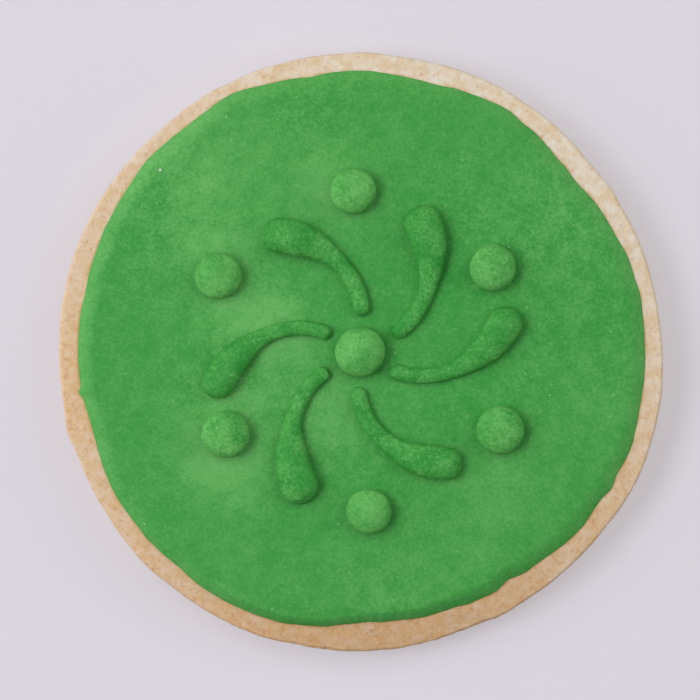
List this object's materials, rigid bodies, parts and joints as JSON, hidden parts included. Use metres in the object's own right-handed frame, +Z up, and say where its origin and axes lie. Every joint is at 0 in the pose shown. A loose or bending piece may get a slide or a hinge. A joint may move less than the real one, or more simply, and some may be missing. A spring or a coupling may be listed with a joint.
{
  "type": "iced sugar biscuit",
  "caption": "Round iced sugar biscuit with a pale baked rim, a poured coat of green icing and a raised piped whirl of curved strokes and round drops.",
  "frame": {"origin": "on the surface that the biscuit rests on, under the middle of its outline", "axes": "+Z up out of the iced face; seen from above with +X to the right, +Y points to the top of the picture"},
  "size_m": [0.091, 0.0902, 0.0115],
  "materials": {
    "baked_dough": "matt baked crumb, pale cream with golden brown specks, browner low on the side and underneath",
    "coat_icing": "dry green sugar icing, satin matt, mottled with faint lighter bloom and a few white sugar specks",
    "piped_icing": "the same green icing piped thick, a little lighter and smoother"
  },
  "bodies": {
    "root": {"biscuit": "baked_dough", "icing_coat": "coat_icing", "dome_centre": "piped_icing", "dome_1": "piped_icing", "dome_2": "piped_icing", "dome_3": "piped_icing", "dome_4": "piped_icing", "dome_5": "piped_icing", "dome_6": "piped_icing", "stroke_1": "piped_icing", "stroke_2": "piped_icing", "stroke_3": "piped_icing", "stroke_4": "piped_icing", "stroke_5": "piped_icing", "stroke_6": "piped_icing"}
  },
  "joints": []
}
